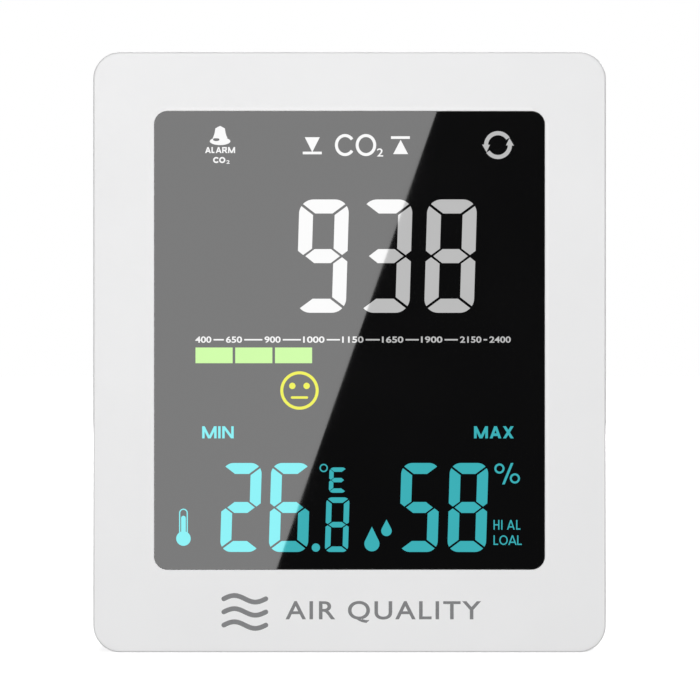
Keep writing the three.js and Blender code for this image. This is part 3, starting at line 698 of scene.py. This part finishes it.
def rear_shell():
    """The cover as an open tray: outside, rim with the tongue that fits the bezel, and inside."""
    tongue = case_outline(1.2 * MM)
    tongue_end = SEAM - 1.8 * MM
    inner_back = BACK - WALL
    rings = [ring_at(BACK - depth, case_outline(inset)) for inset, depth in rounding(BACK_EDGE, 14)]
    rings += [
        ring_at(BACK - BACK_EDGE - SUPPORT, case_outline(0)),
        ring_at(SEAM + SUPPORT, case_outline(0)),
        ring_at(SEAM, case_outline(0)),
        ring_at(SEAM, tongue),
        ring_at(tongue_end, tongue),
        ring_at(tongue_end, case_outline(WALL)),
    ]
    rings += [
        ring_at(inner_back - depth, case_outline(WALL + inset))
        for inset, depth in reversed(rounding(INNER_EDGE, 6))
    ]
    return loft("rear_shell", rings)


def leg_pocket(grow, start, end):
    """The space that the leg folds into, grown all round by a wall's thickness."""
    low = leg_low.z - LEG_FOOT_ROOM - grow
    high = leg_high.z + LEG_GAP + grow
    width = 2 * (LEG_TOP + LEG_GAP + grow)
    outline = rounded(width, high - low, 0.8 * MM + grow, 6, (0, (high + low) / 2))
    return prism("pocket", outline, start, end)


def rear_cutters():
    """What is cut from the rear cover before its edges are rounded."""
    past = BACK + PAST
    inside = BACK - WALL - PAST
    panel_width, panel_height, panel_floor = KEY_PANEL
    key_z = key_centre(KEY_NAMES[0])[1]
    tools = [
        leg_pocket(0, LEG_FLOOR, past),
        prism("panel", stadium(panel_width, panel_height, (0, key_z), 16), panel_floor, past),
        prism("thumb", circle(THUMB_RADIUS, (0, THUMB_Z), 48), BACK - THUMB_DEPTH, past),
    ]
    hole_size = [side + 2 * KEY_HOLE_GAP for side in KEY_SIZE]
    for name in KEY_NAMES:
        tools.append(prism("hole", stadium(*hole_size, key_centre(name), 12), inside, past))
    for row in range(VENT_ROWS):
        for x in (-VENT_X, VENT_X):
            centre = (x, VENT_LOW + row * VENT_PITCH)
            tools.append(prism("vent", stadium(*VENT_SIZE, centre, 6), inside, past))
    for row in range(SIDE_VENT_ROWS):
        centre = (SIDE_VENT_Y, SIDE_VENT_LOW + row * VENT_PITCH)
        outline = stadium(*SIDE_VENT_SIZE, centre, 6)
        for side in (-1, 1):
            ends = side * SIDE_INSIDE, side * (CASE_WIDTH / 2 + PAST)
            tools.append(prism_across("slot", outline, *ends))
    buzzer = middle_of("sound_buzzer")
    holes = [(buzzer.x, buzzer.z)] + circle(SOUND_RING, (buzzer.x, buzzer.z), 6)
    tools += [prism("sound", circle(SOUND_HOLE, hole, 16), inside, past) for hole in holes]
    for name in SCREW_NAMES:
        screw = middle_of(name)
        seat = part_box(name)[0].y + SCREW_SEAT
        tools.append(prism("well", circle(SCREW_WELL, (screw.x, screw.z), 32), seat, past))
    return tools


def inlet():
    """The charging socket's opening, flared at its mouth."""
    socket = middle_of("charging_socket")
    side = CASE_WIDTH / 2
    mouth = ((SIDE_INSIDE, 0), (side - INLET_FLARE, 0), (side + INLET_FLARE, 2 * INLET_FLARE))
    rings = []
    for x, grow in mouth:
        size = [length + 2 * grow for length in INLET_SIZE]
        outline = stadium(*size, (socket.y, socket.z), 10)
        rings.append([(x, y, z) for y, z in outline])
    return loft("inlet", rings)


def make_rear_cover():
    """The rear half. The inlet is cut last, so that it keeps its own flare."""
    cover = rear_shell()
    in_wall = BACK - WALL / 2
    posts = [leg_pocket(POCKET_WALL, LEG_FLOOR - POCKET_SKIN, in_wall)]
    for name in SCREW_NAMES:
        screw = middle_of(name)
        posts.append(prism("post", circle(SCREW_POST, (screw.x, screw.z), 32), SEAM, in_wall))
    combine(cover, "UNION", posts)
    combine(cover, "DIFFERENCE", rear_cutters())
    soften(cover, 0.18 * MM, 2, 40)
    combine(cover, "DIFFERENCE", [inlet()])
    soften(cover, angle=40)
    dress(cover, WHITE_CASE, "housing", ["rear_cover"])


# ---------------------------------------------------------------- keys


def key_outline(centre, inset):
    width, height = KEY_SIZE
    return stadium(width - 2 * inset, height - 2 * inset, centre, 12)


def key_rings(low, top, centre):
    """A cap from its flange, which stays inside, to its slightly domed top."""
    flange = key_outline(centre, -1 * MM)
    flange_top = low + 0.8 * MM
    dome = 0.12 * MM
    rings = [
        ring_at(low, flange),
        ring_at(flange_top, flange),
        ring_at(flange_top, key_outline(centre, 0)),
    ]
    for inset, depth in reversed(rounding(0.5 * MM, 6)):
        rings.append(ring_at(top - dome - depth, key_outline(centre, inset)))
    rings.append(ring_at(top - dome / 3, key_outline(centre, 1.5 * MM)))
    rings.append(ring_at(top, key_outline(centre, 2.25 * MM)))
    return rings


def make_keys():
    """The key caps, each with the sign for what it does."""
    symbols = [power_symbol, up_symbol, down_symbol, lamp_symbol]
    for index, name in enumerate(KEY_NAMES):
        low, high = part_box(name)
        centre = key_centre(name)
        top = high.y - 2 * INLAY
        body = f"key_{index + 1}"
        cap = loft(f"{body}_cap", key_rings(low.y, top, centre))
        dress(soften(cap, angle=40), GREY_KEY, body, [name])
        inlay(f"{body}_symbol", symbols[index](centre), GREY_PRINT, body, top)


def power_symbol(centre):
    x, z = centre
    ring = arc(1.1 * MM, 125, 415, centre, 24)
    stem = [(x, z + 0.3 * MM), (x, z + 1.35 * MM)]
    return [[stroke(ring, 0.3 * MM)], [stroke(stem, 0.3 * MM)]]


def up_symbol(centre):
    return [[triangle(centre, 2.6 * MM, 2.1 * MM)]]


def down_symbol(centre):
    return [[triangle(centre, 2.6 * MM, -2.1 * MM)]]


def lamp_symbol(centre):
    groups = [[circle(0.55 * MM, centre, 20)]]
    for turn in range(0, 360, 45):
        ray = [arc(reach * MM, turn, turn, centre, 1)[0] for reach in (0.9, 1.3)]
        groups.append([stroke(ray, 0.24 * MM, 3)])
    return groups


def triangle(centre, width, height):
    x, y = centre
    return [(x - width / 2, y - height / 2), (x + width / 2, y - height / 2), (x, y + height / 2)]


# ---------------------------------------------------------------- leg

LEG_PANEL_DEPTH = 0.8 * MM
LEG_RIBS, LEG_RIB_PITCH, LEG_RIB_SIZE = 7, 4 * MM, (30 * MM, 1.4 * MM)
PAD_SIDE_GAP, PAD_FACE_GAP = 0.2 * MM, 0.1 * MM


def make_leg():
    """The fold-out leg: a tapered plate with a barrel for its hinge, a shallow panel and seven ribs."""
    low, high = leg_low.y, leg_high.y
    axis = (low + high) / 2
    radius = (high - low) / 2
    hinge_z = leg_high.z - radius
    foot_z = leg_low.z
    corner = 8 * MM
    foot = [(-LEG_FOOT, foot_z + corner)] + foot_corner(-LEG_FOOT, foot_z, corner)
    outline = [(-LEG_TOP, hinge_z)] + foot
    outline += [(-x, z) for x, z in reversed(foot)] + [(LEG_TOP, hinge_z)]
    leg = prism("leg", outline, low, high)
    barrel = prism_across("barrel", circle(radius, (axis, hinge_z), 40), -LEG_TOP, LEG_TOP)
    combine(leg, "UNION", [barrel])
    middle = (0, (hinge_z + foot_z) / 2 + 1 * MM)
    recess = rounded(40 * MM, hinge_z - foot_z - 18 * MM, 3 * MM, 10, middle)
    panel = prism("recess", recess, high - LEG_PANEL_DEPTH, high + PAST)
    combine(leg, "DIFFERENCE", [panel, pad_seat()])
    soften(leg, 0.25 * MM, 3, 40)
    dress(leg, WHITE_CASE, "stand", ["stand_leg"])
    for row in range(LEG_RIBS):
        centre = (0, middle[1] + (row - (LEG_RIBS - 1) / 2) * LEG_RIB_PITCH)
        rings = []
        for depth, inset in ((0.9, 0), (0.45, 0.1), (0.35, 0.3)):
            size = [side - 2 * inset * MM for side in LEG_RIB_SIZE]
            rings.append(ring_at(high - depth * MM, stadium(*size, centre, 6)))
        rib = loft(f"leg_rib_{row + 1}", rings)
        dress(soften(rib), WHITE_CASE, "stand")


def pad_seat():
    """A cutter for the rubber pad's seat, a little larger than the pad."""
    pad_low, pad_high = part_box("leg_foot_pad")
    middle = (pad_low + pad_high) / 2
    size = pad_high - pad_low
    outline = box_outline(0, middle.z, size.x + 2 * PAD_SIDE_GAP, size.z + 2 * PAD_SIDE_GAP)
    return prism("seat", outline, pad_low.y - PAD_FACE_GAP, pad_high.y + PAD_FACE_GAP)


def foot_corner(side, foot, corner, steps=10):
    """A quarter round from the leg's slanted edge to its foot."""
    return arc(corner, 180, 270, (side + corner, foot + corner), steps)[1:]


# ---------------------------------------------------------------- display


def inlay(name, groups, material, body, surface):
    """Flat shapes as one thin piece, half sunk in a surface of constant Y.

    A group is an outline and its holes. Groups may overlap, so each stands higher than the last.
    """
    bm = bmesh.new()
    for index, loops in enumerate(groups):
        step = index % 5 * STEP
        plates = []
        for depth in (surface - INLAY - step, surface + INLAY - step):
            rims = [[bm.verts.new((x, depth, z)) for x, z in loop] for loop in loops]
            edges = [bm.edges.new(pair) for rim in rims for pair in zip(rim, rim[1:] + rim[:1])]
            bmesh.ops.triangle_fill(bm, edges=edges, use_beauty=True)
            plates.append(rims)
        for near, far in zip(*plates):
            for i in range(len(near)):
                j = (i + 1) % len(near)
                bm.faces.new((near[i], near[j], far[j], far[i]))
    return dress(new_object(name, mesh_from(bm, name)), material, body)


def window_place(x, z):
    """A place on the window, from millimetres right of and above its middle."""
    return x * MM, WINDOW_MIDDLE + z * MM


def on_window(name, groups, material):
    """Groups of loops in millimetres about the window's middle, as lit segments."""
    placed = [[[window_place(x, z) for x, z in loop] for loop in loops] for loops in groups]
    return inlay(name, placed, material, "housing", lens_low.y)


def writing(name, words, material, box, surface, weight=0.0, space=1.0):
    """Plain words and figures fitted to a box (left, bottom, width, height) in metres, on the front.

    Weight thickens the strokes, and space is the room between letters as a share of the usual.
    """
    data = bpy.data.curves.new(name, "FONT")
    data.body = words
    data.extrude = INLAY
    data.space_character = space
    data.offset = weight
    source = new_object(name + "_source", data)
    bpy.context.view_layer.update()
    graph = bpy.context.evaluated_depsgraph_get()
    mesh = bpy.data.meshes.new_from_object(source.evaluated_get(graph))
    bpy.data.objects.remove(source)
    left, bottom, width, height = box
    across = [point.co.x for point in mesh.vertices]
    up = [point.co.y for point in mesh.vertices]
    for point in mesh.vertices:
        x = left + (point.co.x - min(across)) / (max(across) - min(across)) * width
        z = bottom + (point.co.y - min(up)) / (max(up) - min(up)) * height
        point.co = (x, surface - point.co.z, z)
    return dress(new_object(name, mesh), material, "housing")


def figures(name, words, material, left, bottom, width, height, weight=0.0):
    """Small figures on the window, in a box in millimetres about its middle."""
    x, z = window_place(left, bottom)
    box = (x, z, width * MM, height * MM)
    return writing(name, words, material, box, lens_low.y, weight)


# Capitals of the legends, as strokes between points of a box one wide and one tall, and how wide each
# is for its height. C and O are ovals.
STROKES = {
    "A": (((0, 0), (0.5, 1)), ((1, 0), (0.5, 1)), ((0.2, 0.25), (0.8, 0.25))),
    "H": (((0, 0), (0, 1)), ((1, 0), (1, 1)), ((0, 0.5), (1, 0.5))),
    "I": (((0.5, 0), (0.5, 1)),),
    "L": (((0, 0), (0, 1)), ((0, 0), (1, 0))),
    "M": (((0, 0), (0, 1)), ((0, 1), (0.5, 0)), ((1, 1), (0.5, 0)), ((1, 0), (1, 1))),
    "N": (((0, 0), (0, 1)), ((0, 1), (1, 0)), ((1, 0), (1, 1))),
    "R": (
        ((0, 0), (0, 1)),
        ((0, 1), (0.8, 1)),
        ((0, 0.45), (0.8, 0.45)),
        ((0.85, 0.45), (0.85, 1)),
        ((0.5, 0.45), (1, 0)),
    ),
    "X": (((0, 0), (1, 1)), ((0, 1), (1, 0))),
}
LETTER_WIDTHS = {
    "A": 0.92,
    "C": 0.83,
    "H": 0.7,
    "I": 0.24,
    "L": 0.58,
    "M": 1.13,
    "N": 0.9,
    "O": 0.93,
    "R": 0.85,
    "X": 0.84,
    " ": 0.16,
}


def letter(character, left, bottom, width, height, weight):
    """The groups of loops that draw one capital."""
    half = weight / 2
    if character in "CO":
        mouth = 36 if character == "C" else 0
        across = width / (1 + math.cos(math.radians(mouth)))
        middle = (left + across, bottom + height / 2)
        outer = oval(middle, across, height / 2, mouth, 360 - mouth)
        inner = oval(middle, across - weight, height / 2 - weight, mouth, 360 - mouth)
        return [[outer + inner[::-1]]] if mouth else [[outer, inner]]
    groups = []
    for ends in STROKES.get(character, ()):
        level = ends[0][1] == ends[1][1]
        placed = []
        for x, y in ends:
            across = left + half + x * (width - weight)
            up = bottom + (half + y * (height - weight) if level else y * height)
            placed.append((across, up))
        groups.append([bar(*placed, weight)])
    return groups


def legend(name, words, material, left, bottom, width, height, weight, gap=0.1):
    """A word in capitals on the window, in a box in millimetres about its middle."""
    natural = [LETTER_WIDTHS[character] for character in words]
    scale = width / (sum(natural) + gap * (len(words) - 1))
    groups = []
    for character, share in zip(words, natural):
        groups += letter(character, left, bottom, share * scale, height, weight)
        left += (share + gap) * scale
    return on_window(name, groups, material)


# Which segments each figure lights: a at the top, then clockwise to f, and g across the middle.
SEGMENTS = {
    "2": "abged",
    "3": "abgcd",
    "5": "afgcd",
    "6": "afgedc",
    "8": "abcdefg",
    "9": "abfgcd",
    "E": "afged",
}
MITRE = 143  # the direction, in degrees, of the cut between a figure's top and its upper left side


def segment_loops(width, height, weight, gap):
    """The seven segments of an upright figure whose lower left corner is at (0, 0)."""
    turn = math.degrees(gap / 2 / weight)
    rise = math.radians(180 - MITRE)
    along = gap / 2 / math.sin(rise)
    down = gap / 2 / math.cos(rise)
    half = height / 2
    left, right, ceiling = weight, width - weight, height - weight
    top = (
        arc(weight, MITRE - turn, 90, (left, ceiling), 5)
        + arc(weight, 90, 180 - MITRE + turn, (right, ceiling), 5)
        + [(right - along, ceiling), (left + along, ceiling)]
    )
    upper_left = arc(weight, MITRE + turn, 180, (left, ceiling), 4) + [
        (0, half + 0.38 * weight),
        (0.38 * weight, half + 0.45 * gap),
        (weight, half + 0.5 * weight + 0.2 * gap),
        (weight, ceiling - down),
    ]
    middle = []
    for across, up in ((-1, 0), (-1, 1), (1, 1), (1, 0), (1, -1), (-1, -1)):
        inset = weight + gap if up else 0.5 * weight + 0.2 * gap
        middle.append((width / 2 + across * (width / 2 - inset), half + up * weight / 2))
    upper_right = [(width - x, y) for x, y in upper_left]
    return {
        "a": top,
        "b": upper_right,
        "c": [(x, height - y) for x, y in upper_right],
        "d": [(x, height - y) for x, y in top],
        "e": [(x, height - y) for x, y in upper_left],
        "f": upper_left,
        "g": middle,
    }


def figure(character, left, bottom, width, height, weight, gap, slant=0.03):
    """The lit segments of one figure, leaning to the right by slant."""
    parts = segment_loops(width - slant * height, height, weight, gap)
    groups = []
    for key in SEGMENTS[character]:
        groups.append([[(left + x + slant * y, bottom + y) for x, y in parts[key]]])
    return groups


def reading(name, characters, lefts, bottom, width, height, weight, gap, material):
    """A row of segment figures of one size, each with its own left edge, in millimetres."""
    groups = []
    for character, left in zip(characters, lefts):
        groups += figure(character, left, bottom, width, height, weight, gap)
    on_window(name, groups, material)


def make_readings():
    """The gas, temperature and humidity readings."""
    reading("co2_reading", "938", (-12.2, 2.3, 17.0), 6.3, 12.1, 25.85, 3.2, 0.58, WHITE_LIGHT)
    bottom, height = -48.28, 20.3
    reading("temperature_reading", "26", (-29.55, -18.45), bottom, 9.55, height, 2.5, 0.46, CYAN_LIGHT)
    reading("temperature_tenths", "8", (-5.65,), bottom, 5.65, 12.45, 1.25, 0.34, CYAN_LIGHT)
    reading("temperature_unit", "E", (-4.75,), -34.77, 4.1, 5.77, 1.0, 0.12, CYAN_LIGHT)
    reading("humidity_reading", "58", (11.25, 22.3), bottom, 9.4, height, 2.5, 0.46, CYAN_LIGHT)
    on_window("decimal_point", [[circle(0.95, (-7.69, -47.28), 24)]], CYAN_LIGHT)


# The scale's figures and where each begins, in millimetres from the window's middle.
SCALE_MARKS = (
    ("400", -35.2),
    ("650", -28.2),
    ("900", -19.4),
    ("1000", -10.6),
    ("1150", -1.7),
    ("1650", 7.4),
    ("1900", 16.3),
    ("2150", 25.2),
    ("2400", 31.9),
)
FIGURE_WIDTH = 1.22
FIGURE_HEIGHT = 1.45


def make_scale():
    """The row of concentrations, a dash between each and the next, and the bars lit below it."""
    dashes = []
    end = None
    for words, left in SCALE_MARKS:
        width = FIGURE_WIDTH * len(words)
        figures(f"scale_{words}", words, WHITE_LIGHT, left, -0.55, width, FIGURE_HEIGHT, 0.02)
        if end is not None:
            dashes.append([box_outline((end + left) / 2, 0.14, left - end - 1.0, 0.33)])
        end = left + width
    on_window("scale_dashes", dashes, WHITE_LIGHT)
    width, pitch = 8.46, 9.07
    bars = [[box_outline(-30.92 + i * pitch, -3.42, width, 3.58)] for i in range(3)]
    on_window("level_bars", bars, GREEN_LIGHT)


def make_mood_face():
    """The plain round face that grades the air: here neither smiling nor frowning."""
    x, z = -11.43, -11.44
    groups = [[circle(4.38, (x, z), 64), circle(3.7, (x, z), 64)]]
    groups += [[circle(0.73, (x + side * 1.63, z + 1.05), 24)] for side in (-1, 1)]
    groups.append([stroke([(x - 1.7, z - 1.6), (x + 1.7, z - 1.6)], 0.56)])
    on_window("air_grade_face", groups, YELLOW_LIGHT)


def make_bell(x, z):
    """A bell seen from a little below, with its clapper as a dark notch in its mouth."""
    side = [(-1.68, 1.55), (-1.42, 2.2), (-1.25, 2.75), (-1.08, 3.8), (-0.55, 4.1), (0, 4.38)]
    dome = [(x + a, z + b) for a, b in side + [(-a, b) for a, b in reversed(side[:-1])]]
    mouth = oval((x, z + 0.87), 2.34, 0.87)
    notch = oval((x - 0.88, z + 1.26), 0.74, 0.36)
    on_window("alarm_bell", [[dome], [mouth, notch]], WHITE_LIGHT)


def make_top_row():
    """The alarm bell, the low and high settings for the gas, and the sign for a new measurement."""
    make_bell(-29.54, 44.56)
    legend("alarm_word", "ALARM", WHITE_LIGHT, -32.96, 42.74, 6.84, 1.37, 0.3, 0.1)
    legend("alarm_gas", "CO", WHITE_LIGHT, -31.14, 40.45, 2.8, 1.4, 0.34, 0.06)
    figures("alarm_gas_index", "2", WHITE_LIGHT, -28.1, 40.3, 0.75, 0.8, 0.02)
    low_triangle = [(-10.22, 46.35), (-6.8, 46.35), (-8.51, 42.95)]
    on_window("low_mark", [[low_triangle], [box_outline(-8.51, 42.76, 4.33, 0.6)]], WHITE_LIGHT)
    high_triangle = [(9.95, 42.5), (13.35, 42.5), (11.65, 45.75)]
    on_window("high_mark", [[high_triangle], [box_outline(11.6, 46.27, 4.3, 0.6)]], WHITE_LIGHT)
    legend("gas_word", "CO", WHITE_LIGHT, -3.34, 42.05, 9.42, 5.03, 0.68, 0.11)
    figures("gas_index", "2", WHITE_LIGHT, 6.27, 41.95, 1.4, 1.85, 0.01)
    make_renew_sign(33.87, 44.56)


def make_renew_sign(x, z):
    """Two curved arrows that chase each other anticlockwise."""
    outer, inner, sweep = 3.19, 2.25, 145
    middle = (outer + inner) / 2
    groups = []
    for start in (33, 213):
        band = arc(outer, start, start + sweep, (x, z), 18)
        band += arc(inner, start + sweep, start, (x, z), 18)
        turn = math.radians(start + sweep)
        away = Vector((math.cos(turn), math.sin(turn)))
        onward = Vector((-away.y, away.x))
        base = Vector((x, z)) + away * middle
        head = [base + away * 0.9, base + onward * 1.7 - away * 0.15, base - away * 0.9]
        groups += [[band], [[tuple(point) for point in head]]]
    on_window("renew_sign", groups, WHITE_LIGHT)


def make_small_signs():
    """The words, units and pictures round the temperature and the humidity."""
    legend("low_word", "MIN", CYAN_LIGHT, -33.64, -22.36, 7.2, 2.76, 0.56, 0.1)
    legend("high_word", "MAX", CYAN_LIGHT, 28.4, -22.36, 9.0, 2.76, 0.6, 0.16)
    legend("high_alarm_word", "HI AL", CYAN_LIGHT, 32.85, -43.19, 6.27, 2.21, 0.28, 0.17)
    legend("low_alarm_word", "LOAL", CYAN_LIGHT, 32.85, -46.68, 6.59, 2.19, 0.28, 0.06)
    make_rings("degree_ring", ((-5.91, -29.12),), 0.95, 0.3)
    make_rings("percent_rings", ((34.2, -29.25), (37.72, -31.5)), 1.16, 0.45)
    on_window("percent_slash", [[bar((35.1, -32.86), (37.1, -27.98), 0.55)]], CYAN_LIGHT)
    make_thermometer(-37.9)
    drops = [[drop(5.1, -48.14, 1.72, 5.63)], [drop(8.42, -44.67, 1.2, 3.81)]]
    on_window("humidity_drops", drops, CYAN_LIGHT)


def make_rings(name, centres, radius, weight):
    """Rings that are drawn as one sign."""
    rings = [[circle(radius, centre), circle(radius - weight, centre)] for centre in centres]
    on_window(name, rings, CYAN_LIGHT)


def drop(x, low, radius, height):
    """A drop of water: a round foot whose sides run up to a point."""
    middle = low + radius
    tangent = math.degrees(math.acos(radius / (height - radius)))
    foot = arc(radius, 90 + tangent, 450 - tangent, (x, middle), 24)
    return foot + [(x, low + height)]


def make_thermometer(x):
    """A bulb, a column of liquid and the outline of its tube."""
    bulb_z, bulb, half, wall, neck = -45.22, 1.66, 1.0, 0.27, 0.53
    top, liquid_top = -39.4, -40.55
    base = bulb_z + 1.25
    tube = arc(half, 0, 180, (x, top), 12) + [(x - half, base), (x - half + wall, base)]
    tube += arc(half - wall, 180, 0, (x, top), 12) + [(x + half - wall, base), (x + half, base)]
    column = [(x - neck, base), (x + neck, base)] + arc(neck, 0, 180, (x, liquid_top), 8)
    on_window("thermometer", [[tube], [circle(bulb, (x, bulb_z), 40)], [column]], CYAN_LIGHT)


def make_mark():
    """A plain generic mark below the window: three waves of air and two words."""
    waves_x, middle = -23.9 * MM, WINDOW_MIDDLE - 61.96 * MM
    length, height, pitch, weight, steps = 9.6 * MM, 0.75 * MM, 3 * MM, 1.1 * MM, 32
    groups = []
    for row in (-1, 0, 1):
        wave = []
        for step in range(steps + 1):
            share = step / steps
            up = height * math.sin(2 * math.pi * share)
            wave.append((waves_x + (share - 0.5) * length, middle + row * pitch + up))
        groups.append([stroke(wave, weight, 6)])
    surface = FRONT + PRINT - INLAY / 2
    inlay("air_waves", groups, GREY_PRINT, "housing", surface)
    box = (-14.6 * MM, middle - 2.5 * MM, 44.6 * MM, 5.0 * MM)
    writing("mark_words", "AIR QUALITY", GREY_PRINT, box, surface, 0.012, 1.15)


# ---------------------------------------------------------------- nodes that keep their own shape


def finish_nodes():
    """Gives each remaining node the procedural material of its slot, and smooth shading."""
    slots = {part["node"]: part["material_slot"] for part in frame["record"]["subparts"]}
    for name, node in frame["nodes"].items():
        node.data.materials.clear()
        node.data.materials.append(NODE_MATERIALS[slots[name]])
        smooth(node.data, 30)


bpy.context.scene.view_settings.view_transform = "Standard"

make_camera()
make_floor()
make_wall()
make_lights()
make_reflection()
make_bezel()
make_window()
make_rear_cover()
make_keys()
make_leg()
make_readings()
make_scale()
make_mood_face()
make_top_row()
make_small_signs()
make_mark()
finish_nodes()
